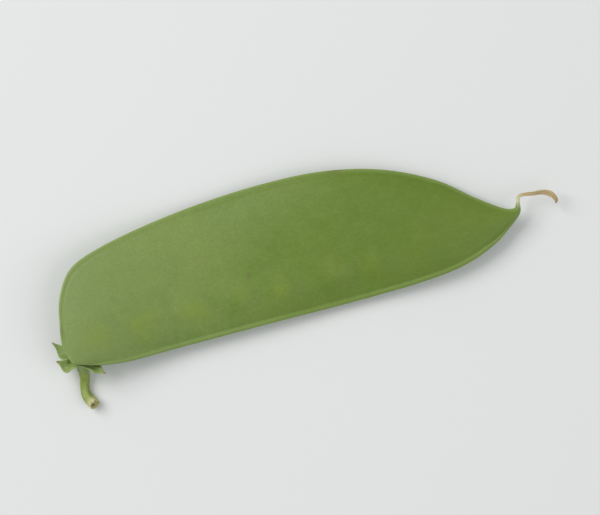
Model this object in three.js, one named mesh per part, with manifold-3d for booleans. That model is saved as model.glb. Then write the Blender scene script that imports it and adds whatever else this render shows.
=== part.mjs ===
// Snow pea pod: a flat young pea pod as picked, with its stalk, its calyx and the dried style at its tip.
// Millimetres, +Z up. The pod lies on one valve: +X runs from the stem end to the tip, and +Y from the
// ventral suture, which bears the seeds, to the dorsal suture. The origin is on the surface it lies on,
// under the middle of the whole piece.
import * as THREE from 'three';
import { mergeVertices } from 'three/addons/utils/BufferGeometryUtils.js';
import Module from 'manifold-3d';

// ---- Driving dimensions of the pod ----

// Stations from the stem end to the tip, each a straight line across the pod:
// [ventral edge x, y, dorsal edge x, y, half the thickness]. They fan out round the blunt stem end.
const podStations = [
  [1.75, -1.5, 1.15, -1.22, 0.36],
  [2.7, -1.85, 0.3, -0.5, 0.85],
  [4.2, -2.35, -0.1, 1.1, 1.12],
  [6.2, -2.95, -0.45, 3.5, 1.4],
  [8.9, -3.55, 0.25, 7.2, 1.75],
  [12.2, -3.95, 1.9, 12.6, 2.05],
  [16.5, -4.15, 5.6, 17.5, 2.3],
  [22.5, -4.35, 12.0, 19.8, 2.45],
  [31.0, -4.75, 22.5, 21.45, 2.6],
  [41.0, -5.2, 34.5, 22.35, 2.7],
  [52.0, -5.8, 47.5, 22.35, 2.7],
  [62.5, -6.25, 60.0, 21.15, 2.6],
  [72.5, -6.45, 71.5, 17.95, 2.4],
  [81.3, -5.9, 81.3, 12.7, 2.05],
  [88.3, -3.9, 88.2, 6.65, 1.55],
  [93.1, -1.1, 92.7, 3.1, 1.0],
  [95.8, 1.0, 94.9, 2.35, 0.62],
  [96.4, 3.15, 95.65, 3.35, 0.42],
];
const stepsPerStation = 5;
const pointsPerFace = 20;

// The valves swell from the web beside each suture; the sutures are beads along the two edges.
const valveFullness = 0.5;
const webHalf = 0.54;
const ventralSuture = { inset: 0.62, width: 0.5, half: 0.72 };
const dorsalSuture = { inset: 0.46, width: 0.4, half: 0.54 };
const edgeRound = 0.45;
// A pod narrower than this has its sutures scaled down with it.
const fullSutureWidth = 12;
// How sharply valve, web and sutures meet: the power that their heights are joined by.
const meeting = 4;

// The seeds are barely formed: a row of low swells hung from the ventral suture.
// Those near either end of the row are smaller: lead and spare set how soon the sizes grow and shrink.
const seeds = {
  count: 7, firstX: 16.8, pitch: 9.7, inset: 6.6, long: 3.6, wide: 3.2, rise: 0.6, lead: 1.3, spare: 1.2,
};

// The pod isn't quite flat: its stem end and its tip rise, and its edges wave a little.
const stemRise = 4.6;
const stemReach = 40;
const tipRise = 1.5;
const tipReach = 38;
const podLength = 96;
const dorsalWave = { rise: 0.5, length: 52, shift: 0.1 };
const ventralWave = { rise: 0.35, length: 41, shift: 0.35 };

// The lower valve is pressed flat where the pod lies on it.
const pressedFlat = 0.3;

// ---- Driving dimensions of the neck, calyx, stalk and style ----

// The neck runs from inside the pod's lower corner down into the cup.
const neckPath = [[2.7, 0.4, 6.2], [2.62, 0.1, 5.1], [2.5, -0.5, 4.14], [2.25, -1.5, 3.46]];
const neckHalf = [1.2, 1.15, 0.96, 0.88];

// The calyx sits round the end of the neck; its own +Y looks up the neck and its +Z is its upper side.
const calyxPlace = [2.21, -1.68, 3.32];
const calyxPitch = THREE.MathUtils.degToRad(32);
const calyxHeading = THREE.MathUtils.degToRad(-14);
// The cup's section, [radius, height along the neck], from the middle of its base round to its inner floor.
const cupDepth = 2.1;
const cupSection = [
  [0, -cupDepth], [1.08, -cupDepth], [1.2, -1.16], [1.47, 0], [1.75, 0.69],
  [1.65, 1.15], [1.4, 1.15], [1.28, 0.69], [1.23, 0], [0, 0],
];
const cupSides = 20;

// The sepals grow out of the cup's wall here: [radius, height along the neck].
const sepalRoot = [1.415, 0.15];
const sepalThickness = 0.62;
const sepalSteps = 12;
const sepalHalfPoints = 3;
// Shares of a sepal's length: it leaves the cup's wall over leaving, has its full spread by spreadBy,
// twists over twisting, and thins from thinFrom to its tip.
const leaving = [-0.08, 0.12];
const spreadBy = 0.55;
const twisting = [0.08, 0.6];
const thinFrom = 0.75;
const tipThinned = 0.25;
// A blade is hollow like a boat, less so towards its tip, and its edges curl up and down along it.
const sepalHollow = 0.42;
const hollowLost = 0.45;
const sepalCurl = 0.14;
const curlWaves = 1.4;
const curlStep = 0.21;
// A sepal's width from its root to its drawn-out tip, as a share of its full width.
const sepalOutline = [0.56, 0.78, 0.95, 1, 0.9, 0.68, 0.4, 0.2, 0.1];
// [turn round the cup from its upper side, spread from the neck at root and at tip, twist of the blade,
// length, width], in degrees and millimetres
const sepals = [
  [-84, 112, 60, -62, 4.4, 3.7],
  [56, 118, 96, 20, 4.2, 3],
  [114, 78, 86, 30, 7.6, 3.1],
  [180, 42, 36, 0, 8.0, 3.2],
  [-122, 70, 62, -46, 6.6, 3.7],
];

const jointGap = 0.3;
// The stalk leaves the cup's base straight, then bends through these points to its torn end.
const stalkStraight = 1.3;
const stalkBend = [[1.02, -6.1, 1.25], [0.86, -7.3, 1.35], [1.15, -8.65, 1.6], [1.98, -10.1, 2.1]];
const stalkHalf = [1.1, 0.98, 0.96, 1.02, 1.15, 1.12];
const tornRise = 0.3;
const tornStep = 2.3;
const pithDepth = 0.35;

const stylePath = [
  [96.12, 3.6], [96.24, 4.05], [96.8, 4.4], [97.9, 4.3], [99.5, 4],
  [101.2, 3.8], [102.8, 2.9], [103.55, 1.5], [103.2, 0.7],
];
const styleHalfWidth = [0.4, 0.42, 0.42, 0.4, 0.5, 0.66, 0.5, 0.2];
const styleHalfThickness = 0.3;

// Each rod's [rings along it, points round it].
const neckGrid = [8, 14];
const stalkGrid = [18, 14];
const styleGrid = [26, 8];

// ---- Shaping ----

const wasm = await Module();
wasm.setup();

function smoothStep(from, to, value) {
  return THREE.MathUtils.smoothstep(value, from, to);
}

function pathThrough(points) {
  return new THREE.CatmullRomCurve3(points.map((p) => new THREE.Vector3(...p)), false, 'catmullrom');
}

// A value read from a short list, smoothly, at t from 0 to 1.
function along(values, t) {
  return pathThrough(values.map((value, i) => [i, value, 0])).getPoint(t).y;
}

// Closed skin through rings of equal count; each end is closed by a fan on its own middle point. The first
// half of a ring is the under face and the second half the upper face, and both are split alike.
function loft(rings, endMiddle = null) {
  const count = rings[0].length;
  const middle = (ring) => ring.reduce((sum, p) => sum.add(p), new THREE.Vector3()).divideScalar(count);
  const points = rings.flat();
  const faces = [];
  for (let r = 0; r < rings.length - 1; r += 1) {
    for (let i = 0; i < count; i += 1) {
      const a = r * count + i;
      const b = r * count + (i + 1) % count;
      if (i < count / 2) {
        faces.push(a, b, b + count, a, b + count, a + count);
      } else {
        faces.push(a, b, a + count, b, b + count, a + count);
      }
    }
  }
  const first = points.length;
  const last = first + 1;
  const lastRing = (rings.length - 1) * count;
  points.push(middle(rings[0]), endMiddle ?? middle(rings.at(-1)));
  for (let i = 0; i < count; i += 1) {
    const next = (i + 1) % count;
    faces.push(first, next, i, last, lastRing + i, lastRing + next);
  }
  const geometry = new THREE.BufferGeometry().setFromPoints(points);
  geometry.setIndex(faces);
  return geometry;
}

// An oval rod along a path that lies more or less level. half(t) gives [half width, half height].
function rod(path, [steps, sides], half) {
  const rings = [];
  for (let s = 0; s <= steps; s += 1) {
    const t = s / steps;
    const centre = path.getPoint(t);
    const ahead = path.getTangent(t);
    const side = new THREE.Vector3(0, 0, 1).cross(ahead).normalize();
    const up = ahead.clone().cross(side);
    const [halfWidth, halfHeight] = half(t);
    const ring = [];
    for (let i = 0; i < sides; i += 1) {
      const angle = (2 * Math.PI * i) / sides;
      ring.push(centre.clone()
        .addScaledVector(side, halfWidth * Math.cos(angle))
        .addScaledVector(up, halfHeight * Math.sin(angle)));
    }
    rings.push(ring);
  }
  return rings;
}

function solid(geometry) {
  const bare = geometry.index ? geometry.clone() : geometry;
  bare.deleteAttribute('normal');
  bare.deleteAttribute('uv');
  const merged = mergeVertices(bare, 1e-4);
  return new wasm.Manifold(new wasm.Mesh({
    numProp: 3,
    vertProperties: Float32Array.from(merged.attributes.position.array),
    triVerts: Uint32Array.from(merged.index.array),
  }));
}

// Joining can leave a scrap of no volume where two skins graze each other; the piece itself is kept.
function largest(body) {
  return body.decompose().sort((a, b) => b.volume() - a.volume())[0];
}

function geometryOf(body) {
  const mesh = body.getMesh();
  const geometry = new THREE.BufferGeometry();
  geometry.setAttribute('position', new THREE.BufferAttribute(mesh.vertProperties, 3));
  geometry.setIndex(new THREE.BufferAttribute(mesh.triVerts, 1));
  return geometry;
}

// ---- Pod ----

const podLast = podStations.length - 1;
const ventralEdge = pathThrough(podStations.map(([x, y]) => [x, y, 0]));
const dorsalEdge = pathThrough(podStations.map(([, , x, y]) => [x, y, 0]));
const podHalf = podStations.map((station) => station[4]);

// How far a suture's bead stands out from the middle plane, by distance from its edge.
function bead(suture, distance) {
  return suture.half * Math.exp(-(((distance - suture.inset) / suture.width) ** 2));
}

// Half the thickness at a distance from the ventral edge, on a line across the pod of this width.
function wallHalf(distance, width, fullest) {
  const scale = Math.min(1, width / fullSutureWidth);
  const fromEdge = Math.min(distance, width - distance);
  const rounding = Math.min(1, fromEdge / (edgeRound * scale));
  const valveStart = (ventralSuture.inset + ventralSuture.width) * scale;
  const valveEnd = width - (dorsalSuture.inset + dorsalSuture.width) * scale;
  const across = THREE.MathUtils.clamp((distance - valveStart) / (valveEnd - valveStart), 0, 1);
  const valve = fullest * Math.sin(Math.PI * across) ** valveFullness;
  const ventral = scale * bead(ventralSuture, distance / scale);
  const dorsal = scale * bead(dorsalSuture, (width - distance) / scale);
  const web = scale * webHalf;
  const sum = valve ** meeting + ventral ** meeting + dorsal ** meeting + web ** meeting;
  return sum ** (1 / meeting) * Math.sqrt(rounding * (2 - rounding));
}

// The ventral edge's y at an x, from the straight-enough middle stretch of the stations.
function ventralY(x) {
  const after = podStations.findIndex((station) => station[0] >= x);
  const [x1, y1] = podStations[after];
  const [x0, y0] = podStations[after - 1];
  return THREE.MathUtils.mapLinear(x, x0, x1, y0, y1);
}

function seedSwell(x, y) {
  let swell = 0;
  for (let i = 0; i < seeds.count; i += 1) {
    const seedX = seeds.firstX + i * seeds.pitch;
    const seedY = ventralY(seedX) + seeds.inset;
    const size = Math.sin((Math.PI * (i + seeds.lead)) / (seeds.count + seeds.spare));
    const reach = ((x - seedX) / seeds.long) ** 2 + ((y - seedY) / seeds.wide) ** 2;
    swell += seeds.rise * size * Math.exp(-reach);
  }
  return swell;
}

function wave({ rise, length, shift }, x) {
  return rise * Math.sin(2 * Math.PI * (x / length + shift));
}

// Height of the pod's middle plane. side is -1 on the ventral edge and 1 on the dorsal one.
function middleHeight(x, side) {
  const lying = Math.max(...podHalf) - pressedFlat;
  const stem = stemRise * Math.max(0, 1 - x / stemReach) ** 2;
  const tip = tipRise * Math.max(0, 1 - (podLength - x) / tipReach) ** 2;
  const dorsal = wave(dorsalWave, x) * Math.max(0, side) ** 2;
  const ventral = wave(ventralWave, x) * Math.max(0, -side) ** 2;
  return lying + stem + tip + dorsal + ventral;
}

function podRing(t) {
  const start = ventralEdge.getPoint(t);
  const end = dorsalEdge.getPoint(t);
  const width = start.distanceTo(end);
  const fullest = along(podHalf, t);
  const upper = [];
  const lower = [];
  for (let i = 0; i <= pointsPerFace; i += 1) {
    const across = (1 - Math.cos((Math.PI * i) / pointsPerFace)) / 2;
    const { x, y } = start.clone().lerp(end, across);
    const centre = middleHeight(x, 2 * across - 1);
    const half = wallHalf(across * width, width, fullest);
    const swell = seedSwell(x, y) * smoothStep(0, 1, half);
    upper.push(new THREE.Vector3(x, y, centre + half + swell));
    lower.push(new THREE.Vector3(x, y, centre - half - swell));
  }
  return [...lower, ...upper.slice(1, -1).reverse()];
}

function podGeometry() {
  const steps = podLast * stepsPerStation;
  const rings = Array.from({ length: steps + 1 }, (_, i) => podRing(i / steps));
  const body = solid(loft(rings));
  const neckCurve = pathThrough(neckPath);
  const neck = solid(loft(rod(neckCurve, neckGrid, (t) => [along(neckHalf, t), along(neckHalf, t)])));
  const surface = new THREE.BoxGeometry(2 * podLength, podLength, podLength);
  surface.translate(podLength / 2, 0, -podLength / 2);
  return geometryOf(largest(body.add(neck).subtract(solid(surface))));
}

// ---- Calyx ----

// One sepal in the calyx's own frame: a pointed, slightly boat-shaped blade that leaves the cup's wall
// and spreads.
function sepalGeometry([turn, spreadRoot, spreadTip, twist, length, width], index) {
  const azimuth = THREE.MathUtils.degToRad(turn);
  const radial = new THREE.Vector3(Math.sin(azimuth), 0, Math.cos(azimuth));
  const side = new THREE.Vector3(Math.cos(azimuth), 0, -Math.sin(azimuth));
  const neckWay = new THREE.Vector3(0, 1, 0);
  const centre = radial.clone().multiplyScalar(sepalRoot[0]).addScaledVector(neckWay, sepalRoot[1]);
  const rings = [];
  for (let s = 0; s <= sepalSteps; s += 1) {
    const t = s / sepalSteps;
    const reached = THREE.MathUtils.lerp(spreadRoot, spreadTip, smoothStep(0, spreadBy, t));
    const spread = THREE.MathUtils.degToRad(reached) * smoothStep(...leaving, t);
    const turned = THREE.MathUtils.degToRad(twist) * smoothStep(...twisting, t);
    const [rise, run] = [Math.cos(spread), Math.sin(spread)];
    const ahead = neckWay.clone().multiplyScalar(rise).addScaledVector(radial, run);
    const inward = neckWay.clone().multiplyScalar(run).addScaledVector(radial, -rise);
    inward.applyAxisAngle(ahead, turned);
    const across = side.clone().applyAxisAngle(ahead, turned);
    const halfWidth = (width / 2) * along(sepalOutline, t);
    const hollow = sepalHollow * (1 - hollowLost * t);
    const curl = sepalCurl * Math.sin(2 * Math.PI * (curlWaves * t + curlStep * index));
    const half = (sepalThickness / 2) * (1 - tipThinned * smoothStep(thinFrom, 1, t));
    const upper = [];
    const lower = [];
    for (let i = -sepalHalfPoints; i <= sepalHalfPoints; i += 1) {
      const v = i / sepalHalfPoints;
      const lift = (hollow * v * v + curl * v) * halfWidth;
      const skin = Math.abs(v) === 1 ? 0 : half;
      const place = centre.clone().addScaledVector(across, v * halfWidth).addScaledVector(inward, lift);
      upper.push(place.clone().addScaledVector(inward, skin));
      lower.push(place.clone().addScaledVector(inward, -skin));
    }
    rings.push([...lower, ...upper.slice(1, -1).reverse()]);
    centre.addScaledVector(ahead, length / sepalSteps);
  }
  return loft(rings);
}

function calyxGeometry() {
  const section = cupSection.map(([radius, height]) => new THREE.Vector2(radius, height));
  let body = solid(new THREE.LatheGeometry(section, cupSides));
  sepals.forEach((sepal, index) => {
    body = body.add(solid(sepalGeometry(sepal, index)));
  });
  return geometryOf(body);
}

// ---- Assembly ----

function part(name, geometry, colour, roughness) {
  const material = new THREE.MeshStandardMaterial({ color: colour, roughness, metalness: 0 });
  const mesh = new THREE.Mesh(geometry, material);
  mesh.name = name;
  return mesh;
}

const pod = part('pod', podGeometry(), 0x7b9147, 0.45);

const calyx = part('calyx', calyxGeometry(), 0x8fa65c, 0.6);
calyx.position.set(...calyxPlace);
calyx.rotation.set(calyxPitch, 0, calyxHeading, 'ZXY');

const belowCup = (drop) => {
  const below = new THREE.Vector3(0, -cupDepth - drop, 0);
  return below.applyEuler(calyx.rotation).add(calyx.position).toArray();
};
const stalkCurve = pathThrough([belowCup(jointGap), belowCup(jointGap + stalkStraight), ...stalkBend]);
const stalkRings = rod(stalkCurve, stalkGrid, (t) => [along(stalkHalf, t), along(stalkHalf, t)]);
const tornAhead = stalkCurve.getTangent(1);
stalkRings.at(-1).forEach((point, i) => {
  point.addScaledVector(tornAhead, tornRise * Math.sin(tornStep * i) ** 2);
});
const pith = stalkCurve.getPoint(1).addScaledVector(tornAhead, -pithDepth);
const stalk = part('stalk', loft(stalkRings, pith), 0x93a457, 0.55);

const styleCurve = pathThrough(stylePath.map(([x, y]) => [x, y, middleHeight(podLength, 0)]));
const styleRings = rod(styleCurve, styleGrid, (t) => [along(styleHalfWidth, t), styleHalfThickness]);
const style = part('style', loft(styleRings), 0xb39a6e, 0.7);

const group = new THREE.Group();
group.add(pod, calyx, stalk, style);
const middle = new THREE.Box3().setFromObject(group, true).getCenter(new THREE.Vector3());
group.position.set(-middle.x, -middle.y, 0);
group.updateMatrixWorld(true);

export default group;
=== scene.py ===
import math
from functools import lru_cache

import bmesh
import bpy
from mathutils import Matrix, Vector, noise


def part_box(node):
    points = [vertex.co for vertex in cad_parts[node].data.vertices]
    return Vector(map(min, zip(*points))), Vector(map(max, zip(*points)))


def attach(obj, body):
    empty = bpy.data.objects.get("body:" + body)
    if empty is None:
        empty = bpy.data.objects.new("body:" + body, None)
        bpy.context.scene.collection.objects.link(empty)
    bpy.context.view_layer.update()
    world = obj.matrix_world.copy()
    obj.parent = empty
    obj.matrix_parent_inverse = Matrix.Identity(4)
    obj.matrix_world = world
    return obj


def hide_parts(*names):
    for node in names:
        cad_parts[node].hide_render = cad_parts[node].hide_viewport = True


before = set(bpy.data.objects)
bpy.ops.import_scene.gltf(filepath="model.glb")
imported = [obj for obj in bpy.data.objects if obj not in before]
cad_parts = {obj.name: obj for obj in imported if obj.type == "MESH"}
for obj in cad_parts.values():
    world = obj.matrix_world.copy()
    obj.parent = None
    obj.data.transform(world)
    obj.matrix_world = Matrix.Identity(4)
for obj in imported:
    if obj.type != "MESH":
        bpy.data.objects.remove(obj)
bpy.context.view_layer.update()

# ---------------------------------------------------------------------------------------------------
# The pod: one grown wall of two flat valves, joined by a suture along each edge, with a short neck under
# its stem corner that stands in the calyx, and a small beak at the tip. Its skin is waxy and satin under
# a thin pale bloom, whose paler paint over the stem end is partly painted sheen. The seeds are barely
# formed: low yellowish swells along the ventral side.

# The pieces are drawn in millimetres, and the frame is in metres.
MM = 0.001

# Each station is a straight line across the pod, in millimetres from the pod's ventral corner:
# [ventral edge x, y, dorsal edge x, y, half the thickness]. They fan out round the blunt stem end.
pod_stations = [
    [1.75, -1.5, 1.15, -1.22, 0.36],
    [2.7, -1.85, 0.3, -0.5, 0.85],
    [4.2, -2.35, -0.1, 1.1, 1.12],
    [6.2, -2.95, -0.45, 3.5, 1.4],
    [8.9, -3.55, 0.25, 7.2, 1.75],
    [12.2, -3.95, 1.9, 12.6, 2.05],
    [16.5, -4.15, 5.6, 17.5, 2.3],
    [22.5, -4.35, 12.0, 19.8, 2.45],
    [31.0, -4.75, 22.5, 21.45, 2.6],
    [41.0, -5.2, 34.5, 22.35, 2.7],
    [52.0, -5.8, 47.5, 22.35, 2.7],
    [62.5, -6.25, 60.0, 21.15, 2.6],
    [72.5, -6.45, 71.5, 17.95, 2.4],
    [81.3, -5.9, 81.3, 12.7, 2.05],
    [88.3, -3.9, 88.2, 6.65, 1.55],
    [93.1, -1.1, 92.7, 3.1, 1.0],
    [95.8, 1.0, 94.9, 2.35, 0.62],
    [96.4, 3.15, 95.65, 3.35, 0.42],
]
# The neck is drawn down out of the lower valve, from round its root along this path.
neck_root = (2.6, 0.1)
neck_reach = 1.75
neck_path_points = [[2.6, 0.1, 5.3], [2.56, -0.2, 4.7], [2.5, -0.5, 4.14], [2.25, -1.5, 3.46]]
neck_half = [1.75, 1.12, 0.96, 0.88]
neck_end_share = 0.24
neck_blend = 0.3
neck_step = 0.01
pod_rings = 380
pod_sides = 168
pod_cap = 0.008

# The valves swell from the web beside each suture; the sutures are beads along the two edges.
valve_fullness = 0.5
web_half = 0.54
# Round the blunt stem end the web is thicker, and the valves run into the rim without a groove.
stem_web = 0.17
stem_web_fades = (7.0, 20.0)
edge_round = 0.42
# How sharply valve, web and beads meet: the power that their heights are joined by.
meeting = 4
# Where the pod is narrower than the first its sutures shrink with it, and between the other two its
# section turns from flat to oval.
full_suture_width = 12.0
flat_above_width = 9.0
round_below_width = 2.6
# [inset from the edge, width, half the thickness] of each suture's bead
ventral_bead = [0.62, 0.5, 0.6]
dorsal_bead = [0.4, 0.34, 0.42]
# A finer vein runs beside each bead.
side_vein = {"inset": 1.6, "width": 0.3, "rise": 0.045}
suture_groove = {"depth": 0.16, "half_width": 0.17}

# A row of low swells hung from the ventral edge. Those near either end of the row are smaller: lead and
# spare set how soon the sizes grow and shrink.
seed_count = 7
seed_lead = 1.3
seed_spare = 1.2
seed_first = 16.8
seed_pitch = 9.7
seed_inset = 6.6
seed_long = 3.6
seed_wide = 3.2
seed_rise = 0.6
# A soft spot is left out past this many times its reach.
spot_ends = 3

# The pod isn't quite flat: its stem end and its tip rise, and its edges wave a little.
stem_rise = 4.6
stem_reach = 40.0
tip_rise = 1.5
tip_reach = 38.0
pod_length = 96.0
dorsal_wave = {"rise": 0.5, "length": 52.0, "shift": 0.1}
ventral_wave = {"rise": 0.35, "length": 41.0, "shift": 0.35}
# The lower valve is pressed flat where the pod lies on it.
pressed_flat = 0.3
pressed_blend = 0.05
# Low uneven dents in the valves: [spacing along, spacing across, depth]. The two valves and the three
# kinds of dent each take their own layer of the noise.
dents = [[15.0, 8.0, 0.11], [5.2, 3.6, 0.045], [1.9, 1.5, 0.012]]
dent_valves_apart = 7.3
dent_kinds_apart = 2.9
dents_start = (0.5, 3.0)


def smooth_step(low, high, value):
    share = min(max((value - low) / (high - low), 0.0), 1.0)
    return share * share * (3 - 2 * share)


def lerp(a, b, share):
    return a + (b - a) * share


def rounded(share):
    """How far a round edge or end has opened at this share of the way in from it."""
    return math.sqrt(share * (2 - share))


def spline(points, t):
    """The place at t, from 0 to 1, on a smooth curve through numbers or points."""
    last = len(points) - 1
    reached = min(max(t, 0.0), 1.0) * last
    i = min(int(reached), last - 1)
    share = reached - i
    b, c = points[i], points[i + 1]
    a = points[i - 1] if i > 0 else 2 * b - c
    d = points[i + 2] if i + 2 <= last else 2 * c - b
    bend = (3 * (b - c) + d - a) * share + (2 * a - 5 * b + 4 * c - d)
    return b + (bend * share + (c - a)) * (0.5 * share)


def skin(name, rings, sides, point_at):
    """A closed skin made from a ball. Its poles become the two ends, and each point goes where
    point_at(t, turn) says, in millimetres: t runs from end to end and turn once round."""
    bpy.ops.object.select_all(action="DESELECT")
    bpy.ops.mesh.primitive_uv_sphere_add(segments=sides, ring_count=rings, radius=1)
    piece = bpy.context.object
    piece.name = name
    piece.data.name = name
    places = []
    for vertex in piece.data.vertices:
        x, y, z = vertex.co
        t = math.acos(min(max(z, -1.0), 1.0)) / math.pi
        places.append((t, math.atan2(y, x)))
    for vertex, (t, turn) in zip(piece.data.vertices, places):
        vertex.co = point_at(t, turn)
    return piece, places


def close_up(piece, shift):
    """Turns the faces outwards, smooths them and brings the piece from millimetres into the frame."""
    piece.data.transform(Matrix.Scale(MM, 4) @ Matrix.Translation(shift))
    bpy.context.view_layer.objects.active = piece
    bpy.ops.object.mode_set(mode="EDIT")
    bpy.ops.mesh.select_all(action="SELECT")
    bpy.ops.mesh.normals_make_consistent(inside=False)
    bpy.ops.object.mode_set(mode="OBJECT")
    bpy.ops.object.shade_smooth()


def mark(piece, name, values):
    """Keeps one value a point on the piece, for its material to read."""
    layer = piece.data.attributes.new(name, "FLOAT", "POINT")
    layer.data.foreach_set("value", values)


ventral_edge = [Vector((s[0], s[1])) for s in pod_stations]
dorsal_edge = [Vector((s[2], s[3])) for s in pod_stations]
pod_half = [s[4] for s in pod_stations]
fullest_half = max(pod_half)
neck_path = [Vector(point) for point in neck_path_points]


def bead(suture, distance):
    """Half the thickness of a suture's bead, at a distance from its own edge."""
    inset, width, half = suture
    return half * math.exp(-(((distance - inset) / width) ** 2))


def wall_half(distance, width, fullest, web):
    """Half the pod's thickness at a distance from the ventral edge, on a line across of this width."""
    scale = min(1.0, width / full_suture_width)
    from_edge = min(distance, width - distance)
    rounding = min(1.0, from_edge / (edge_round * scale))
    valve_start = (ventral_bead[0] + ventral_bead[1]) * scale
    valve_end = width - (dorsal_bead[0] + dorsal_bead[1]) * scale
    across = min(max((distance - valve_start) / (valve_end - valve_start), 0.0), 1.0)
    valve = fullest * math.sin(math.pi * across) ** valve_fullness
    ventral = scale * bead(ventral_bead, distance / scale)
    dorsal = scale * bead(dorsal_bead, (width - distance) / scale)
    joined = sum(height ** meeting for height in (valve, ventral, dorsal, scale * web)) ** (1 / meeting)
    beside = (from_edge / scale - side_vein["inset"]) / side_vein["width"]
    vein = scale * side_vein["rise"] * math.exp(-beside ** 2)
    flat = (joined + vein) * rounded(rounding)
    oval = fullest * math.sqrt(max(0.0, 1 - (2 * distance / width - 1) ** 2))
    return lerp(oval, flat, smooth_step(round_below_width, flat_above_width, width))


def seed_mask(x, y):
    """1 on the middle of a full-sized seed, falling to 0 round it."""
    total = 0.0
    for i in range(seed_count):
        seed_x = seed_first + i * seed_pitch
        if abs(x - seed_x) > spot_ends * seed_long:
            continue
        seed_y = ventral_line(seed_x) + seed_inset
        size = math.sin(math.pi * (i + seed_lead) / (seed_count + seed_spare))
        total += size * math.exp(-(((x - seed_x) / seed_long) ** 2) - ((y - seed_y) / seed_wide) ** 2)
    return total


@lru_cache(maxsize=None)
def ventral_line(x):
    """The ventral edge's y at an x."""
    after = next(i for i, point in enumerate(ventral_edge) if point.x >= x)
    a, b = ventral_edge[after - 1], ventral_edge[after]
    return lerp(a.y, b.y, (x - a.x) / (b.x - a.x))


def wave(shape, x):
    """How far a waving edge is raised at an x."""
    return shape["rise"] * math.sin(2 * math.pi * (x / shape["length"] + shape["shift"]))


def middle_height(x, side):
    """Height of the pod's middle plane; side is -1 on the ventral edge and 1 on the dorsal one."""
    lying = fullest_half - pressed_flat
    stem = stem_rise * max(0.0, 1 - x / stem_reach) ** 2
    tip = tip_rise * max(0.0, 1 - (pod_length - x) / tip_reach) ** 2
    dorsal = wave(dorsal_wave, x) * max(0.0, side) ** 2
    ventral = wave(ventral_wave, x) * max(0.0, -side) ** 2
    return lying + stem + tip + dorsal + ventral


def unevenness(x, y, face):
    """How far the dents raise or lower a valve; face is 1 on the upper one and -1 on the lower one."""
    total = 0.0
    for number, (spacing_along, spacing_across, depth) in enumerate(dents):
        layer = dent_valves_apart * face + dent_kinds_apart * number
        place = Vector((x / spacing_along, y / spacing_across, layer))
        total += depth * noise.noise(place)
    return total


@lru_cache(maxsize=None)
def pod_section(t):
    """Where the line across the pod starts and ends at t, its fullest half, and how far its end is open."""
    share = (t - pod_cap) / (1 - 2 * pod_cap)
    start = spline(ventral_edge, share)
    end = spline(dorsal_edge, share)
    closing = min(1.0, t / pod_cap, (1 - t) / pod_cap)
    return start, end, spline(pod_half, share), rounded(closing)


def pod_spot(t, turn):
    """x, y, share across, distance from the ventral edge and width of the section there."""
    start, end, *_ = pod_section(t)
    across = (1 - math.cos(turn)) / 2
    width = (end - start).length
    return start.lerp(end, across), across, across * width, width


def neck_point(point):
    """Where a point of the lower valve goes when the neck is drawn out of it."""
    away = Vector((point.x - neck_root[0], point.y - neck_root[1], 0))
    if away.length >= neck_reach:
        return point
    inward = 1 - away.length / neck_reach
    drawn = min(1.0, inward / (1 - neck_end_share))
    centre = spline(neck_path, drawn)
    ahead = (centre - spline(neck_path, max(0.0, drawn - neck_step))).normalized()
    tilt = Vector((0, 0, -1)).rotation_difference(ahead)
    closing = min(1.0, (1 - inward) / neck_end_share)
    reach = spline(neck_half, drawn) * rounded(closing)
    tube = centre + tilt @ (away.normalized() * reach)
    return point.lerp(tube, smooth_step(0.0, neck_blend, inward))


def pod_point(t, turn):
    """A point of the pod's skin: t from the stem end to the tip, turn once round the section there."""
    start, end, fullest, open_share = pod_section(t)
    spot, across, distance, width = pod_spot(t, turn)
    face = 1 if math.sin(turn) >= 0 else -1
    centre = middle_height(spot.x, 2 * across - 1)
    web = web_half + stem_web * (1 - smooth_step(*stem_web_fades, start.x))
    half = wall_half(distance, width, fullest, web)
    swell = seed_rise * seed_mask(spot.x, spot.y) * smooth_step(0, 1, half)
    from_edge = min(distance, width - distance)
    uneven = unevenness(spot.x, spot.y, face) * smooth_step(*dents_start, from_edge)
    rise = (half + swell + uneven) * open_share
    groove = suture_groove["depth"] * math.exp(-((rise / suture_groove["half_width"]) ** 2))
    # Only the ventral edge has a groove.
    if across < 0.5 and width > flat_above_width:
        spot = spot + (end - start).normalized() * groove
    middle = (start + end) / 2
    spot = middle.lerp(spot, open_share)
    height = centre + face * rise
    if face > 0:
        return Vector((spot.x, spot.y, height))
    # The lower valve comes down to the floor softly, and never below it.
    pressed = (height + math.sqrt(height * height + pressed_blend ** 2)) / 2
    return neck_point(Vector((spot.x, spot.y, pressed)))


pod, pod_places = skin("pod_wall", pod_rings, pod_sides, pod_point)

# The frame says where the pod lies: its box there and this mesh's box share one middle.
low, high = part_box("pod")
drawn = [vertex.co for vertex in pod.data.vertices]
drawn_x = (min(point.x for point in drawn) + max(point.x for point in drawn)) / 2
drawn_y = (min(point.y for point in drawn) + max(point.y for point in drawn)) / 2
to_frame = Vector(((low[0] + high[0]) / 2 / MM - drawn_x, (low[1] + high[1]) / 2 / MM - drawn_y, 0))


# The pale line along each suture fades between these distances from the edge.
rim_fades = (0.2, 1.1)


def rim_mask(t, turn):
    *_, distance, width = pod_spot(t, turn)
    return 1 - smooth_step(*rim_fades, min(distance, width - distance))


def marked(spot, marks):
    """How strongly a spot is covered by soft marks, each [x, y, reach along, reach across, strength]."""
    total = 0.0
    for x, y, long, wide, strength in marks:
        if abs(spot.x - x) < spot_ends * long:
            total += strength * math.exp(-((spot.x - x) / long) ** 2 - ((spot.y - y) / wide) ** 2)
    return min(1.0, total)


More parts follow.
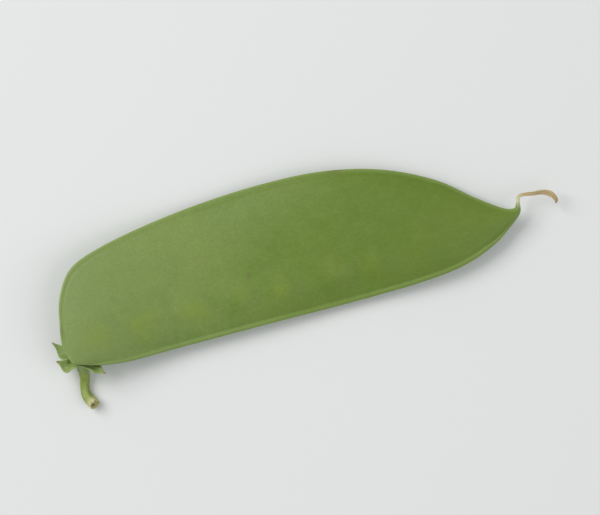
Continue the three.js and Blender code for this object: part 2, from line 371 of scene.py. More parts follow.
# The wall is tinted yellow over and between the seeds, in uneven patches.
seed_tints = [[5.8, 3.2, 2.7, 2.5, 0.42], [7.9, 1.4, 1.9, 2.3, 0.5], [15.5, 2.0, 1.8, 2.7, 0.9],
              [18.7, 3.0, 1.7, 1.9, 0.55], [25.5, 2.8, 1.6, 2.0, 0.75], [28.2, 1.4, 1.8, 2.4, 0.8],
              [37.3, 2.1, 2.3, 2.0, 0.5], [45.0, 0.9, 2.0, 2.5, 0.55], [56.6, 1.5, 2.6, 2.0, 0.4],
              [64.1, -0.2, 1.9, 2.2, 0.42], [75.2, 1.0, 1.8, 1.7, 0.28]]


def seed_tint(t, turn):
    return marked(pod_spot(t, turn)[0], seed_tints)


# The beak's end dries pale where the style stands on it, with a ragged border.
beak_pale_from = 0.945
beak_ragged = 0.012


def beak_mask(t, turn):
    ragged = beak_ragged * noise.noise(Vector((math.cos(turn), math.sin(turn), 40 * t)) * 1.5)
    return smooth_step(beak_pale_from, 1.0, t + ragged)


# Rubbed and dried spots, and last a dark patch along the rim of the stem end, in millimetres like the
# stations: [x, y, reach along, reach across, strength]
dark_marks = [[63.1, 20.9, 1.5, 0.7, 1.0], [39.5, 5.4, 0.42, 0.36, 0.8], [30.5, 12.2, 0.3, 0.26, 0.4],
         [57.8, 3.1, 0.34, 0.3, 0.5], [72.6, 8.8, 0.5, 0.24, 0.35], [11.8, 9.3, 0.34, 0.42, 0.3],
         [0.1, 6.3, 0.5, 1.3, 0.55]]


def dark_mark_mask(t, turn):
    return marked(pod_spot(t, turn)[0], dark_marks)


mark(pod, "rim", [rim_mask(*place) for place in pod_places])
mark(pod, "seed", [seed_tint(*place) for place in pod_places])
mark(pod, "dark_mark", [dark_mark_mask(*place) for place in pod_places])
mark(pod, "beak", [beak_mask(*place) for place in pod_places])
mark(pod, "along", [pod_spot(*place)[0].x / pod_length for place in pod_places])
close_up(pod, to_frame)


def colour(red, green, blue):
    """A colour as the eye sees it, 0 to 255 a channel, for a shader."""
    def light(channel):
        share = channel / 255
        return share / 12.92 if share <= 0.04045 else ((share + 0.055) / 1.055) ** 2.4
    return (light(red), light(green), light(blue), 1.0)


def add(tree, kind, inputs=None, **settings):
    """One node with its settings, and its sockets filled with values or joined to other sockets."""
    made = tree.nodes.new(kind)
    for name, value in settings.items():
        setattr(made, name, value)
    for name, value in (inputs or {}).items():
        socket = made.inputs[name]
        if isinstance(value, bpy.types.NodeSocket):
            tree.links.new(value, socket)
        else:
            socket.default_value = value
    return made


def blend_colours(tree, share, first, second):
    """Mix node sockets share their names, so they are taken by place: factor, then the two colours."""
    return add(tree, "ShaderNodeMix", {0: share, 6: first, 7: second}, data_type="RGBA").outputs[2]


def combined(tree, operation, first, second):
    return add(tree, "ShaderNodeMath", {0: first, 1: second}, operation=operation).outputs[0]


def sum_of(tree, first, second):
    return combined(tree, "ADD", first, second)


def product_of(tree, first, second):
    return combined(tree, "MULTIPLY", first, second)


def ranged(tree, value, from_low, from_high, to_low, to_high):
    """A value spread from its first range over its second, and held inside that."""
    inputs = {"Value": value, "From Min": from_low, "From Max": from_high,
              "To Min": to_low, "To Max": to_high}
    return add(tree, "ShaderNodeMapRange", inputs).outputs["Result"]


def noise_at(tree, place, scale, detail=2.0, roughness=0.5, distortion=0.0):
    inputs = {"Vector": place, "Scale": scale, "Detail": detail, "Roughness": roughness,
              "Distortion": distortion}
    return add(tree, "ShaderNodeTexNoise", inputs).outputs["Fac"]


def attribute(tree, name):
    return add(tree, "ShaderNodeAttribute", attribute_name=name).outputs["Fac"]


def own_place(tree):
    return add(tree, "ShaderNodeTexCoord").outputs["Object"]


def finish_skin(tree, shader, skin_colour, relief, strength, depth):
    """Gives the shader its colour, and its fine relief to a depth in metres."""
    tree.links.new(skin_colour, shader.inputs["Base Color"])
    bump = add(tree, "ShaderNodeBump", {"Strength": strength, "Distance": depth, "Height": relief})
    tree.links.new(bump.outputs["Normal"], shader.inputs["Normal"])


def new_material(name, **shader_values):
    """A material with its shader, whose even values are set on the shader's own sockets."""
    material = bpy.data.materials.new(name)
    material.use_nodes = True
    tree = material.node_tree
    shader = tree.nodes["Principled BSDF"]
    for socket, value in shader_values.items():
        shader.inputs[socket.replace("_", " ")].default_value = value
    return material, tree, shader


def new_group(name, scales, results):
    """A node group that takes a place and some scales: itself, what it is given and what it gives."""
    group = bpy.data.node_groups.new(name, "ShaderNodeTree")
    group.interface.new_socket("Vector", in_out="INPUT", socket_type="NodeSocketVector")
    for scale in scales:
        group.interface.new_socket(scale, in_out="INPUT", socket_type="NodeSocketFloat")
    for result in results:
        group.interface.new_socket(result, in_out="OUTPUT", socket_type="NodeSocketFloat")
    given = group.nodes.new("NodeGroupInput").outputs
    return group, given, group.nodes.new("NodeGroupOutput").inputs


def make_cell_grain():
    """The skin of young plant tissue: soft cloudy mottling, and the fine grain of its cells."""
    group, given, gives = new_group("cell grain", ["Cloud Scale", "Cell Scale"], ["Cloud", "Cell"])
    cloud = noise_at(group, given["Vector"], given["Cloud Scale"], 4.0, 0.6, 0.3)
    cell = noise_at(group, given["Vector"], given["Cell Scale"], 2.0, 0.55)
    group.links.new(cloud, gives["Cloud"])
    group.links.new(cell, gives["Cell"])
    return group


cell_grain = make_cell_grain()


def grain_in(tree, place, cloud_scale, cell_scale):
    inputs = {"Vector": place, "Cloud Scale": cloud_scale, "Cell Scale": cell_scale}
    made = add(tree, "ShaderNodeGroup", inputs, node_tree=cell_grain)
    return made.outputs["Cloud"], made.outputs["Cell"]


# The skin's colours: a green that drifts between two tones, and what lies over it
skin_greens = colour(98, 128, 36), colour(115, 139, 48)
skin_cloud_green = colour(125, 147, 58)
skin_cell_green = colour(82, 108, 30)
skin_fleck_green = colour(146, 166, 92)
# pale bloom, partly painted sheen where it lies over the stem end
bloom_and_sheen_grey = colour(143, 158, 105)
# deeper green at the tip, partly the pod's own colour and partly painted shade
tip_green_and_shade = colour(92, 118, 10)
seed_yellow = colour(130, 148, 34)
vein_green = colour(148, 168, 104)
rim_green = colour(142, 164, 84)
dark_mark_brown = colour(104, 92, 46)
beak_cream = colour(196, 202, 152)
# Its patterns, in spots a metre
tone_scale = 42.0
skin_cloud_scale = 330.0
skin_cell_scale = 2400.0
fleck_scale = 1500.0
vein_scale = 260.0
# The net of veins is turned, drawn out along the slant and led astray by this much, in metres.
vein_turn = math.radians(-38)
vein_stretch = (1.0, 2.3, 1.0)
vein_stray = (0.0022, 0.0022, 0.0022)
vein_width = 0.09
wax_shine = 0.12
skin_relief = 0.00006


def make_pod_skin():
    material, tree, shader = new_material(
        "pod skin", Subsurface_Weight=0.18, Subsurface_Radius=(0.6, 1.0, 0.25), Subsurface_Scale=0.0012,
        Sheen_Weight=0.06, Sheen_Roughness=0.45, Coat_Roughness=0.38)
    place = own_place(tree)
    tone = noise_at(tree, place, tone_scale, 2.0, 0.5, 0.6)
    cloud, cell = grain_in(tree, place, skin_cloud_scale, skin_cell_scale)
    fleck = noise_at(tree, place, fleck_scale, 1.0, 0.4)
    along = attribute(tree, "along")
    rim = attribute(tree, "rim")
    green = blend_colours(tree, ranged(tree, tone, 0.35, 0.65, 0, 1), *skin_greens)
    green = blend_colours(tree, ranged(tree, cloud, 0.3, 0.7, 0, 0.55), green, skin_cloud_green)
    green = blend_colours(tree, ranged(tree, cell, 0.4, 0.72, 0, 0.42), green, skin_cell_green)
    green = blend_colours(tree, ranged(tree, fleck, 0.6, 0.76, 0, 0.2), green, skin_fleck_green)

    # The bloom is thickest at the stem end, where its paler paint is partly painted sheen, and towards the
    # tip the green is deeper, partly painted shade.
    patchy = ranged(tree, tone, 0.3, 0.7, 0.5, 1.0)
    bloom_and_sheen = product_of(tree, ranged(tree, along, 0.0, 0.52, 1.0, 0.0), patchy)
    green = blend_colours(tree, product_of(tree, bloom_and_sheen, 0.52), green, bloom_and_sheen_grey)
    # Towards the tip the paint turns a deeper green, partly the pod's own and partly painted shade.
    green = blend_colours(tree, ranged(tree, along, 0.25, 0.8, 0.0, 0.68), green, tip_green_and_shade)
    yellow = product_of(tree, attribute(tree, "seed"), ranged(tree, cloud, 0.35, 0.65, 0.3, 0.72))
    green = blend_colours(tree, yellow, green, seed_yellow)

    # The net of veins slants across the valve and fades out at the rim.
    slant = add(tree, "ShaderNodeMapping", {"Vector": place, "Rotation": (0, 0, vein_turn),
                                            "Scale": vein_stretch}).outputs["Vector"]
    stray = add(tree, "ShaderNodeTexNoise", {"Vector": place, "Scale": vein_scale, "Detail": 2.0})
    stray_by = add(tree, "ShaderNodeVectorMath", {0: stray.outputs["Color"], 1: vein_stray},
                   operation="MULTIPLY").outputs[0]
    net_place = add(tree, "ShaderNodeVectorMath", {0: slant, 1: stray_by}).outputs[0]
    net = add(tree, "ShaderNodeTexVoronoi", {"Vector": net_place, "Scale": vein_scale},
              feature="DISTANCE_TO_EDGE").outputs["Distance"]
    off_rim = ranged(tree, rim, 0.0, 0.35, 1.0, 0.0)
    vein = product_of(tree, ranged(tree, net, 0.0, vein_width, 1.0, 0.0), off_rim)
    green = blend_colours(tree, product_of(tree, vein, 0.05), green, vein_green)

    green = blend_colours(tree, product_of(tree, rim, 0.36), green, rim_green)
    # The rubbed and dried spots, and the patch on the stem end's rim, are darkened to brown.
    dark_mark = product_of(tree, attribute(tree, "dark_mark"), ranged(tree, cell, 0.3, 0.6, 0.5, 1.0))
    green = blend_colours(tree, dark_mark, green, dark_mark_brown)
    beak = product_of(tree, attribute(tree, "beak"), ranged(tree, cloud, 0.3, 0.7, 0.75, 1.0))
    green = blend_colours(tree, beak, green, beak_cream)

    # Under the bloom the skin is rougher, and its wax doesn't shine.
    rough = sum_of(tree, ranged(tree, cloud, 0.3, 0.7, 0.4, 0.52), product_of(tree, bloom_and_sheen, 0.2))
    tree.links.new(rough, shader.inputs["Roughness"])
    shine = combined(tree, "SUBTRACT", wax_shine, product_of(tree, bloom_and_sheen, wax_shine))
    tree.links.new(shine, shader.inputs["Coat Weight"])
    relief = sum_of(tree, product_of(tree, cell, 0.5), product_of(tree, vein, 0.28))
    finish_skin(tree, shader, green, sum_of(tree, relief, cloud), 0.5, skin_relief)
    return material


pod.data.materials.append(make_pod_skin())
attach(pod, "root")
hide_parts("pod")

# ---------------------------------------------------------------------------------------------------
# The calyx: a leafy cup round the neck with five pointed sepals, grown as one piece. Each sepal is a
# thin, slightly boat-shaped blade with a raised midrib, and its drawn-out tip has dried to brown.

calyx_place = Vector((2.21, -1.68, 3.32))
calyx_pitch = math.radians(32)
calyx_heading = math.radians(-14)
calyx_turned = Matrix.Rotation(calyx_heading, 3, "Z") @ Matrix.Rotation(calyx_pitch, 3, "X")
# The cup's outer side, from the middle of its base to its rim: [radius, height]
cup_side = [[0.62, -2.12], [0.98, -2.02], [1.1, -1.75], [1.17, -1.25], [1.29, -0.7], [1.43, -0.2],
            [1.56, 0.15], [1.66, 0.42]]
# The sepals' midribs start on the cup between these heights, with a shallow seam between them.
cup_ribs_start = (-2.1, -1.2)
cup_rib_half = 0.2
cup_seam = 0.05
# The sepals grow out of the cup's wall here: radius, and height along the neck.
sepal_root_radius = 1.415
sepal_root_height = 0.15
# A sepal's width from its root to its drawn-out tip, as a share of its full width
sepal_outline = [0.56, 0.78, 0.95, 1, 0.9, 0.68, 0.4, 0.2, 0.1]
# [turn round the cup from its upper side, spread from the neck at root and at tip, twist of the blade,
# length, width], in degrees and millimetres, in order round the cup
sepals = [
    [-122, 70, 62, -46, 6.6, 3.7],
    [-84, 112, 60, -62, 4.4, 3.7],
    [56, 118, 96, 20, 4.2, 3.0],
    [114, 78, 86, 30, 7.6, 3.1],
    [180, 42, 36, 0, 8.0, 3.2],
]
# Shares of a sepal's length: it leaves the cup's wall over leaving, has its full spread by spread_by
# and twists over twisting.
leaving = (-0.08, 0.12)
spread_by = 0.55
twisting = (0.08, 0.6)
# A blade is hollow like a boat, less so towards its tip, and its edges curl and ripple along it.
sepal_hollow = 0.42
hollow_lost = 0.45
sepal_curl = 0.14
curl_waves = 1.4
curl_step = 0.21
sepal_curl_order = [4, 0, 1, 2, 3]
sepal_ripple = 0.07
midrib_rise = 0.12
midrib_half = 0.16
midrib_lost = 0.7
blade_thickness = 0.36

sepal_steps = 60
sepal_columns = 10
sepal_rows = 18
sepal_first_row = 0.1
# The rows crowd a little at the tip, and the first few blend from the cup's rim into the blade.
rows_crowd = 0.9
root_blend = 0.22


def from_calyx(point):
    """A place in the calyx's own frame, whose +Y looks up the neck and +Z is its upper side."""
    return calyx_place + calyx_turned @ point


def sepal_walk(number):
    """The sepal's middle line, in small steps from its root: place, way ahead, inward and across."""
    turn, spread_root, spread_tip, twist, length, _ = sepals[number]
    azimuth = math.radians(turn)
    radial = Vector((math.sin(azimuth), 0, math.cos(azimuth)))
    side = Vector((math.cos(azimuth), 0, -math.sin(azimuth)))
    neck_way = Vector((0, 1, 0))
    centre = radial * sepal_root_radius + neck_way * sepal_root_height
    walked = []
    for step in range(sepal_steps + 1):
        t = step / sepal_steps
        opened = lerp(spread_root, spread_tip, smooth_step(0, spread_by, t)) * smooth_step(*leaving, t)
        spread = math.radians(opened)
        turned = math.radians(twist) * smooth_step(*twisting, t)
        ahead = neck_way * math.cos(spread) + radial * math.sin(spread)
        roll = Matrix.Rotation(turned, 3, ahead)
        inward = roll @ (neck_way * math.sin(spread) - radial * math.cos(spread))
        walked.append((centre.copy(), ahead, inward, roll @ side))
        centre = centre + ahead * (length / sepal_steps)
    return walked


def blade_point(number, walked, t, v):
    """A point of the blade: t from root to tip, v from -1 to 1 across it."""
    place = t * (len(walked) - 1)
    i = min(int(place), len(walked) - 2)
    centre, ahead, inward, across = (lerp(a, b, place - i) for a, b in zip(walked[i], walked[i + 1]))
    half_width = sepals[number][5] / 2 * spline(sepal_outline, t)
    boat = sepal_hollow * (1 - hollow_lost * t)
    curl = sepal_curl * math.sin(2 * math.pi * (curl_waves * t + curl_step * sepal_curl_order[number]))
    ripple = sepal_ripple * math.sin(17 * t + 5 * number) * v * v * v
    lift = (boat * v * v + curl * v + ripple) * half_width
    rib = midrib_rise * math.exp(-((v / midrib_half) ** 2)) * (1 - midrib_lost * t)
    return centre + across * (v * half_width) + inward * (lift - rib)


def make_calyx():
    """The cup's side, drawn up row by row from a ring, and each sepal drawn out of its share of the rim."""
    count = sepal_columns * len(sepals)
    turns = [sepal[0] for sepal in sepals]
    turns = [turn + 360 if turn < turns[0] else turn for turn in turns] + [turns[0] + 360]
    bounds = [(turns[0] + turns[-2] - 360) / 2] + [(a + b) / 2 for a, b in zip(turns, turns[1:])]
    bpy.ops.object.select_all(action="DESELECT")
    bpy.ops.mesh.primitive_circle_add(vertices=count, radius=1, fill_type="NOTHING")
    piece = bpy.context.object
    piece.name = piece.data.name = "calyx_leaves"
    mesh = bmesh.new()
    mesh.from_mesh(piece.data)
    column = mesh.verts.layers.int.new("column")
    along = mesh.verts.layers.float.new("along")
    across = mesh.verts.layers.float.new("across")
    mesh.verts.ensure_lookup_table()

    def step_of(vertex, number):
        """How many columns the vertex stands past the start of this sepal's share of the ring."""
        return (vertex[column] - number * sepal_columns) % count

    def share_of(vertex, number):
        """Where the vertex stands across that share, from -1 to 1."""
        return 2 * step_of(vertex, number) / sepal_columns - 1

    def points_of(edges):
        return {vertex for edge in edges for vertex in edge.verts}

    def drawn_out(edges):
        """The next row of edges, extruded out of these."""
        made = bmesh.ops.extrude_edge_only(mesh, edges=edges)["geom"]
        return [part for part in made if isinstance(part, bmesh.types.BMEdge)]

    def ring_point(vertex, radius, height):
        """Where the vertex stands on the cup's side, in the calyx's own frame."""
        number = vertex[column] // sepal_columns
        v = share_of(vertex, number)
        near = bounds[number] if v < 0 else bounds[number + 1]
        angle = math.radians(lerp(turns[number], near, abs(v)))
        rib = midrib_rise * math.exp(-((v / cup_rib_half) ** 2)) * smooth_step(*cup_ribs_start, height)
        seam = cup_seam * abs(v) ** 6
        reach = radius + rib - seam
        return Vector((math.sin(angle) * reach, height, math.cos(angle) * reach))

    for number, vertex in enumerate(mesh.verts):
        vertex[column] = number
        vertex[across] = abs(share_of(vertex, number // sepal_columns))

    edges = list(mesh.edges)
    first_ring = list(mesh.verts)
    for row, (radius, height) in enumerate(cup_side):
        if row:
            edges = drawn_out(edges)
        for vertex in points_of(edges):
            vertex.co = ring_point(vertex, radius, height)
            vertex[along] = -1 + row / (len(cup_side) - 1)
    base = mesh.faces.new(first_ring)
    bmesh.ops.poke(mesh, faces=[base])

    rim_edges = edges
    for number in range(len(sepals)):
        walked = sepal_walk(number)
        row_edges = [edge for edge in rim_edges
                     if all(step_of(vertex, number) <= sepal_columns for vertex in edge.verts)]
        root = {vertex[column]: vertex.co.copy() for vertex in points_of(row_edges)}
        for row in range(1, sepal_rows + 1):
            row_edges = drawn_out(row_edges)
            share = row / sepal_rows
            t = lerp(sepal_first_row, 1, share ** rows_crowd)
            for vertex in points_of(row_edges):
                v = share_of(vertex, number)
                blade = blade_point(number, walked, t, v)
                vertex.co = root[vertex[column]].lerp(blade, smooth_step(0, root_blend, share))
                vertex[along] = share
                vertex[across] = abs(v)
    bmesh.ops.recalc_face_normals(mesh, faces=mesh.faces)
    # An extrude makes its faces in any order, so they are laid out again in the order of their points.
    mesh.verts.index_update()
    corners = [[vertex.index for vertex in face.verts] for face in mesh.faces]
    faces = sorted(face[face.index(min(face)):] + face[:face.index(min(face))] for face in corners)
    piece.data.clear_geometry()
    piece.data.from_pydata([from_calyx(vertex.co) for vertex in mesh.verts], [], faces)
    mark(piece, "along", [vertex[along] for vertex in mesh.verts])
    mark(piece, "across", [vertex[across] for vertex in mesh.verts])
    mesh.free()
    return piece


def apply_modifier(piece, name, kind, **settings):
    modifier = piece.modifiers.new(name, kind)
    for setting, value in settings.items():
        setattr(modifier, setting, value)
    bpy.context.view_layer.objects.active = piece
    bpy.ops.object.modifier_apply(modifier=name)


calyx = make_calyx()
apply_modifier(calyx, "leaf thickness", "SOLIDIFY", thickness=blade_thickness, offset=-1,
               use_even_offset=False)
apply_modifier(calyx, "soft leaf", "SUBSURF", levels=2, render_levels=2)
close_up(calyx, to_frame)


leaf_greens = colour(118, 142, 66), colour(152, 172, 98)
leaf_cell_green = colour(96, 120, 52)
leaf_vein_green = colour(170, 186, 122)
leaf_margin_green = colour(160, 178, 112)
cup_base_green = colour(136, 154, 66)
dried_tip_tan = colour(164, 134, 82)
leaf_cloud_scale = 520.0
leaf_cell_scale = 3200.0
leaf_relief = 0.00007


def make_calyx_leaf():
    material, tree, shader = new_material(
        "calyx leaf", Subsurface_Weight=0.2, Subsurface_Radius=(0.5, 1.0, 0.2), Subsurface_Scale=0.0008,
        Sheen_Weight=0.08, Sheen_Roughness=0.5)
    cloud, cell = grain_in(tree, own_place(tree), leaf_cloud_scale, leaf_cell_scale)
    along = attribute(tree, "along")
    across = attribute(tree, "across")
    green = blend_colours(tree, ranged(tree, cloud, 0.3, 0.7, 0, 1), *leaf_greens)
    green = blend_colours(tree, ranged(tree, cell, 0.35, 0.75, 0, 0.3), green, leaf_cell_green)

    # The side veins leave the midrib at a slant, as a row of uneven stripes.
    lean = combined(tree, "SUBTRACT", product_of(tree, across, 4.2), product_of(tree, along, 9.0))
    lean = sum_of(tree, lean, product_of(tree, cloud, 1.6))
    stripe = add(tree, "ShaderNodeMath", {0: product_of(tree, lean, 4.0)}, operation="SINE").outputs[0]
    side_veins = ranged(tree, stripe, 0.72, 1.0, 0.0, 1.0)
    midrib = ranged(tree, across, 0.03, 0.14, 1.0, 0.0)
    veins = combined(tree, "MAXIMUM", product_of(tree, side_veins, 0.5), midrib)
    green = blend_colours(tree, product_of(tree, veins, 0.45), green, leaf_vein_green)

    green = blend_colours(tree, ranged(tree, along, -0.95, -0.35, 0.8, 0.0), green, cup_base_green)
    green = blend_colours(tree, ranged(tree, across, 0.86, 1.0, 0.0, 0.35), green, leaf_margin_green)
    ragged = sum_of(tree, along, product_of(tree, cloud, 0.22))
    green = blend_colours(tree, ranged(tree, ragged, 0.93, 1.06, 0.0, 0.85), green, dried_tip_tan)
    tree.links.new(ranged(tree, cloud, 0.3, 0.7, 0.5, 0.62), shader.inputs["Roughness"])
    relief = sum_of(tree, product_of(tree, cell, 0.4), product_of(tree, veins, -0.8))
    finish_skin(tree, shader, green, relief, 0.6, leaf_relief)
    return material


calyx.data.materials.append(make_calyx_leaf())
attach(calyx, "root")
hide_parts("calyx")

# ---------------------------------------------------------------------------------------------------
# The stalk: the short green stem that the pod hung from. It is faintly ribbed and swells towards the
# end where it was torn off, which has dried pale, with frayed fibres round a shrunken dark pith.

cup_base = -2.1
# The stalk starts inside the cup, leaves its base straight as far as the last of these drops below
# it, then bends through these points to its torn end.
stalk_in_cup = 0.35
stalk_straight = (0.3, 1.6)
stalk_bend = [[1.02, -6.1, 1.25], [0.86, -7.3, 1.35], [1.15, -8.65, 1.6], [1.98, -10.1, 2.1]]
stalk_half = [0.98, 1.06, 0.98, 0.95, 1.0, 1.12, 1.14]
stalk_rings = 150
stalk_sides = 112
stalk_ribs = 5
stalk_rib_depth = 0.035
stalk_rib_twist = 1.5
# Layers of noise: [how fine, where in the noise it starts, how high]
stalk_uneven = [[1.4, (0, 0, 0), 0.05], [4.1, (0, 0, 0), 0.02]]
# A rod's end closes over this share of its length.
end_round = 0.03

# The torn end: where it starts, how far its fibres and its slant reach, and how far it flares
torn_from = 0.84
torn_fibre = 0.44
torn_slant = 0.34
torn_flare = 0.07
# The fibres' own level and layers of noise, and those of the torn face
fibre_level = 0.35
fibre_uneven = [[2.1, (3, 1, 8), 0.8], [9.0, (9, 2, 4), 0.75]]
torn_uneven = [[2.6, (0, 0, 5), 0.13], [7.5, (4, 0, 0), 0.07]]
slant_shift = 0.4
fray_from = 0.8
pith_middle = Vector((-0.3, 0.05, 0))
pith_depth = 0.26
pith_share = 0.26
pith_ragged = 0.12
# The pith's edge blends between these multiples of its share.
pith_border = (0.5, 1.5)
# Where the stalk's skin turns pale, as shares of its length, and the core's border, from its middle
pale_over = (0.8, 0.97)
pale_ragged = 0.05
core_border = (0.6, 0.88)


def below_cup(drop):
    """A place on the neck's own line, this far under the cup's base."""
    return from_calyx(Vector((0, cup_base - drop, 0)))


stalk_path = [below_cup(drop) for drop in (-stalk_in_cup, *stalk_straight)]
stalk_path += [Vector(point) for point in stalk_bend]


def rod_frame(path, t, roll=0.0):
    """Middle, way ahead, side and upper side of a rod along a path that lies more or less level."""
    step = 0.004
    centre = spline(path, t)
    ahead = (spline(path, min(t + step, 1)) - spline(path, max(t - step, 0))).normalized()
    side = Vector((0, 0, 1)).cross(ahead).normalized()
    turned = Matrix.Rotation(roll, 3, ahead)
    return centre, ahead, turned @ side, turned @ ahead.cross(side)


def outward(turn, inner=1.0):
    """A place on the torn end, whose rim is at 1 from the middle, or a direction round the stalk."""
    return Vector((math.cos(turn), math.sin(turn), 0)) * inner


def layered(spot, layers, level=0.0):
    """A level with layers of noise laid on it."""
    for fineness, start, height in layers:
        level += height * noise.noise(spot * fineness + Vector(start))
    return level


def fibre_at(turn):
    """How far the torn fibres reach at this side of the end, from 0 to 1."""
    return min(1.0, max(0.0, layered(outward(turn), fibre_uneven, fibre_level)))


def pith_at(spot):
    """1 in the shrunken pith and 0 outside it, at a place on the torn end."""
    away = (spot - pith_middle).length + pith_ragged * noise.noise(spot * 4.0)
    return 1 - smooth_step(pith_share * pith_border[0], pith_share * pith_border[1], away)


def stalk_point(t, turn):
    """A point of the stalk: along its side as far as torn_from, then over the torn end to its middle."""
    shaft = min(1.0, t / torn_from)
    centre, ahead, side, up = rod_frame(stalk_path, shaft)
    reach = spline(stalk_half, shaft)
    ribs = stalk_rib_depth * math.cos(stalk_ribs * turn + stalk_rib_twist * shaft)
    around = Vector((math.cos(turn), math.sin(turn), 4.0 * shaft))
    reach += ribs + layered(around, stalk_uneven)
    reach *= rounded(min(1.0, t / end_round))
    flare = 0.5 + noise.noise(around * 2.3)
    if t <= torn_from:
        fray = smooth_step(fray_from, 1.0, shaft)
        reach += torn_flare * fray * flare
        slant = fray ** 3 * torn_slant * (math.sin(turn) + slant_shift)
        lean = ahead * (fray ** 6 * torn_fibre * fibre_at(turn) - slant)
        return centre + (side * math.cos(turn) + up * math.sin(turn)) * reach + lean
    face = (t - torn_from) / (1 - torn_from)
    reach += torn_flare * flare
    inner = 1 - face
    spot = outward(turn, inner)
    broken = layered(spot, torn_uneven)
    rim = torn_fibre * fibre_at(turn) * smooth_step(0.5, 1.0, inner)
    slant = torn_slant * (spot.y + slant_shift)
    lean = ahead * (rim - slant - pith_depth * pith_at(spot) + broken * smooth_step(0.0, 0.25, face))
    return centre + (side * math.cos(turn) + up * math.sin(turn)) * (reach * inner) + lean


def torn_mask(t, turn):
    """1 where the stalk has dried pale, 0 on its green side."""
    ragged = pale_ragged * noise.noise(outward(turn) * 3.0)
    return smooth_step(*pale_over, min(1.0, t / torn_from) + ragged)


def end_spot(t, turn):
    """Where on the torn end a point of the stalk lies; all of the stalk's side counts as the rim."""
    return outward(turn, 1 - max(0.0, t - torn_from) / (1 - torn_from))


def core_mask(t, turn):
    """1 on the torn end inside its pale rim."""
    return 1 - smooth_step(*core_border, end_spot(t, turn).length)


def pith_mask(t, turn):
    return pith_at(end_spot(t, turn)) if t > torn_from else 0.0


stalk, stalk_places = skin("stalk_stem", stalk_rings, stalk_sides, stalk_point)
mark(stalk, "torn", [torn_mask(*place) for place in stalk_places])
mark(stalk, "core", [core_mask(*place) for place in stalk_places])
mark(stalk, "pith", [pith_mask(*place) for place in stalk_places])
close_up(stalk, to_frame)


fibre_stretch = (1.0, 0.22, 1.0)


def make_fibre():
    """Long fine fibres: bright and dark streaks, drawn out along the second axis."""
    group, given, gives = new_group("dry fibre", ["Scale"], ["Streak"])
    long_way = add(group, "ShaderNodeMapping", {"Vector": given["Vector"], "Scale": fibre_stretch})
    streak = noise_at(group, long_way.outputs["Vector"], given["Scale"], 4.0, 0.65)
    group.links.new(streak, gives["Streak"])
    return group


dry_fibre = make_fibre()


def fibre_in(tree, place, scale):
    inputs = {"Vector": place, "Scale": scale}
    return add(tree, "ShaderNodeGroup", inputs, node_tree=dry_fibre).outputs["Streak"]


stem_greens = colour(116, 136, 46), colour(142, 158, 66)
stem_streak_green = colour(160, 174, 92)
torn_creams = colour(170, 166, 108), colour(208, 206, 156)
core_tan = colour(160, 144, 94)
pith_brown = colour(92, 84, 44)
stem_cloud_scale = 420.0
stem_cell_scale = 3000.0
stem_fibre_scale = 1500.0
stem_relief = 0.0001


def make_stalk_skin():
    material, tree, shader = new_material(
        "stalk skin", Subsurface_Weight=0.15, Subsurface_Radius=(0.6, 1.0, 0.3), Subsurface_Scale=0.0008)
    place = own_place(tree)
    cloud, cell = grain_in(tree, place, stem_cloud_scale, stem_cell_scale)
    streak = fibre_in(tree, place, stem_fibre_scale)
    torn = attribute(tree, "torn")
    green = blend_colours(tree, ranged(tree, cloud, 0.3, 0.7, 0, 1), *stem_greens)
    green = blend_colours(tree, ranged(tree, streak, 0.42, 0.68, 0, 0.45), green, stem_streak_green)
    cream = blend_colours(tree, ranged(tree, streak, 0.35, 0.65, 0, 1), *torn_creams)
    skin_colour = blend_colours(tree, torn, green, cream)
    core = product_of(tree, attribute(tree, "core"), ranged(tree, cell, 0.35, 0.65, 0.55, 1.0))
    skin_colour = blend_colours(tree, core, skin_colour, core_tan)
    skin_colour = blend_colours(tree, attribute(tree, "pith"), skin_colour, pith_brown)
    tree.links.new(ranged(tree, torn, 0, 1, 0.46, 0.78), shader.inputs["Roughness"])
    relief = sum_of(tree, product_of(tree, cell, 0.4), streak)
    finish_skin(tree, shader, skin_colour, relief, 0.7, stem_relief)
    return material


stalk.data.materials.append(make_stalk_skin())
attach(stalk, "root")
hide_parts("stalk")

# ---------------------------------------------------------------------------------------------------
# The style: what is left of the flower's style, on the end of the beak. It is a dry, papery ribbon,
# folded and a little twisted, whitish where it leaves the beak and tan beyond, with a brown end.

style_path_flat = [[95.98, 3.1], [96.16, 3.6], [96.3, 4.05], [96.8, 4.4], [97.9, 4.3], [99.5, 4.0],
                   [101.2, 3.8], [102.8, 2.9], [103.5, 1.5], [103.2, 0.75]]
style_half_width = [0.34, 0.36, 0.38, 0.36, 0.36, 0.42, 0.58, 0.6, 0.42, 0.16]
style_half_thick = [0.34, 0.32, 0.26, 0.2, 0.17, 0.15, 0.14, 0.14, 0.12, 0.1]
style_roll = [0, 0, -10, -25, -15, 20, 35, 10, -20, -30]
# Past its foot the ribbon is folded along its middle, pleated and crinkled.
folded_over = (0.2, 0.45)
fold_height = 0.2
pleat_height = 0.09
crinkle_height = 0.05
style_uneven = 0.12
style_rings = 160
style_sides = 40
style_height = middle_height(pod_length, 0)
style_path = [Vector((x, y, style_height)) for x, y in style_path_flat]


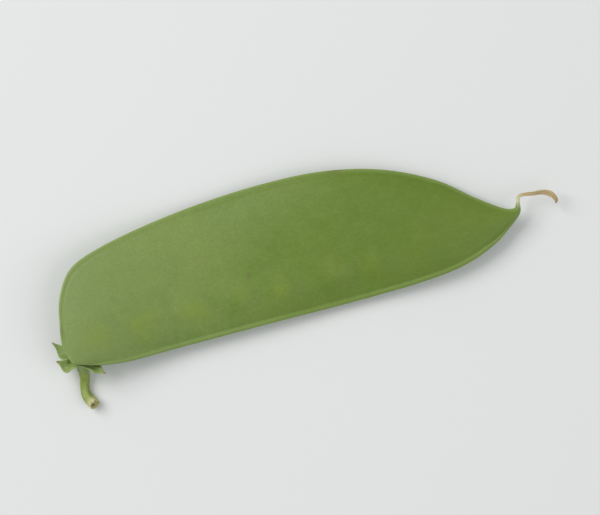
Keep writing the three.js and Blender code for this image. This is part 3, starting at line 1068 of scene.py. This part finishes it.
def style_point(t, turn):
    """A point of the style: t from its foot to its end, turn once round the ribbon there."""
    centre, _, side, up = rod_frame(style_path, t, math.radians(spline(style_roll, t)))
    shut = rounded(min(1.0, t / end_round, (1 - t) / end_round))
    v = math.cos(turn)
    half_width = spline(style_half_width, t) * (1 + style_uneven * noise.noise(Vector((14 * t, 0, 3))))
    half_thick = spline(style_half_thick, t)
    folded = smooth_step(*folded_over, t)
    fold = folded * (fold_height * v * v - pleat_height * math.cos(7 * v + 9 * t)) * half_width
    crinkle = folded * crinkle_height * noise.noise(Vector((26 * t, 2.0 * v, 1.0)))
    height = math.sin(turn) * half_thick * shut + fold + crinkle
    return centre + side * (v * half_width * shut) + up * height


style, style_places = skin("style_ribbon", style_rings, style_sides, style_point)
mark(style, "along", [t for t, _ in style_places])
mark(style, "across", [math.cos(turn) for _, turn in style_places])
close_up(style, to_frame)


style_tans = colour(158, 132, 90), colour(206, 188, 142)
style_cloud_tan = colour(184, 158, 108)
style_foot_green = colour(206, 208, 166)
style_end_brown = colour(146, 112, 66)
style_cloud_scale = 700.0
style_cell_scale = 4200.0
style_fibre_scale = 3.2
style_relief = 0.00008


def make_dried_style():
    material, tree, shader = new_material(
        "dried style", Roughness=0.7, Subsurface_Weight=0.1, Subsurface_Radius=(1.0, 0.7, 0.4),
        Subsurface_Scale=0.0005)
    along = attribute(tree, "along")
    across = attribute(tree, "across")
    lengthwise = add(tree, "ShaderNodeCombineXYZ", {"X": across, "Y": product_of(tree, along, 10.0)})
    streak = fibre_in(tree, lengthwise.outputs[0], style_fibre_scale)
    cloud, cell = grain_in(tree, own_place(tree), style_cloud_scale, style_cell_scale)
    tan = blend_colours(tree, ranged(tree, streak, 0.35, 0.65, 0, 1), *style_tans)
    tan = blend_colours(tree, ranged(tree, cloud, 0.4, 0.7, 0, 0.5), tan, style_cloud_tan)
    tan = blend_colours(tree, ranged(tree, along, 0.2, 0.42, 0.85, 0.0), tan, style_foot_green)
    tan = blend_colours(tree, ranged(tree, along, 0.8, 1.0, 0.0, 0.7), tan, style_end_brown)
    relief = sum_of(tree, streak, product_of(tree, cell, 0.3))
    finish_skin(tree, shader, tan, relief, 0.8, style_relief)
    return material


style.data.materials.append(make_dried_style())
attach(style, "root")
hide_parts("style")

# ---------------------------------------------------------------------------------------------------
# The floor, the light and the camera. The pod lies on a plain pale floor under large soft lights, and
# the camera looks straight down on it, turned so that the pod slopes up to the right.

view_turn = math.radians(-17.5)
view_width = 0.122
camera_height = 0.8
floor_size = 4
floor_cloud_scale = 3.0
floor_greys = colour(226, 227, 226), colour(232, 232, 230)
sky_grey = colour(236, 240, 242)
sky_strength = 0.5

bpy.ops.object.select_all(action="DESELECT")
bpy.ops.mesh.primitive_plane_add(size=floor_size)
floor = bpy.context.object
floor.name = "floor"
floor_paint, floor_tree, floor_shader = new_material("pale floor", Roughness=0.6)
floor_tone = noise_at(floor_tree, own_place(floor_tree), floor_cloud_scale)
floor_colour = blend_colours(floor_tree, floor_tone, *floor_greys)
floor_tree.links.new(floor_colour, floor_shader.inputs["Base Color"])
floor.data.materials.append(floor_paint)


def soft_light(name, across, up, height, size, power):
    """A square soft light, placed by the view's own right and up, and turned to the pod."""
    place = Matrix.Rotation(view_turn, 3, "Z") @ Vector((across, up, height))
    bpy.ops.object.light_add(type="AREA", location=place, rotation=place.to_track_quat("Z", "Y").to_euler())
    lamp = bpy.context.object
    lamp.name = name
    lamp.data.size = size
    lamp.data.energy = power


soft_light("key light", across=-0.6, up=0.35, height=0.72, size=0.6, power=6.2)
soft_light("fill light", across=0.6, up=-0.2, height=0.7, size=0.8, power=2.0)

world = bpy.data.worlds.new("studio")
world.use_nodes = True
sky = world.node_tree.nodes["Background"]
sky.inputs["Color"].default_value = sky_grey
sky.inputs["Strength"].default_value = sky_strength
bpy.context.scene.world = world
bpy.context.scene.view_settings.view_transform = "Standard"

camera_data = bpy.data.cameras.new("camera")
camera_data.lens = camera_data.sensor_width * camera_height / view_width
camera = bpy.data.objects.new("camera", camera_data)
camera.location = (0, 0, camera_height)
camera.rotation_euler = (0, 0, view_turn)
bpy.context.collection.objects.link(camera)
bpy.context.scene.camera = camera
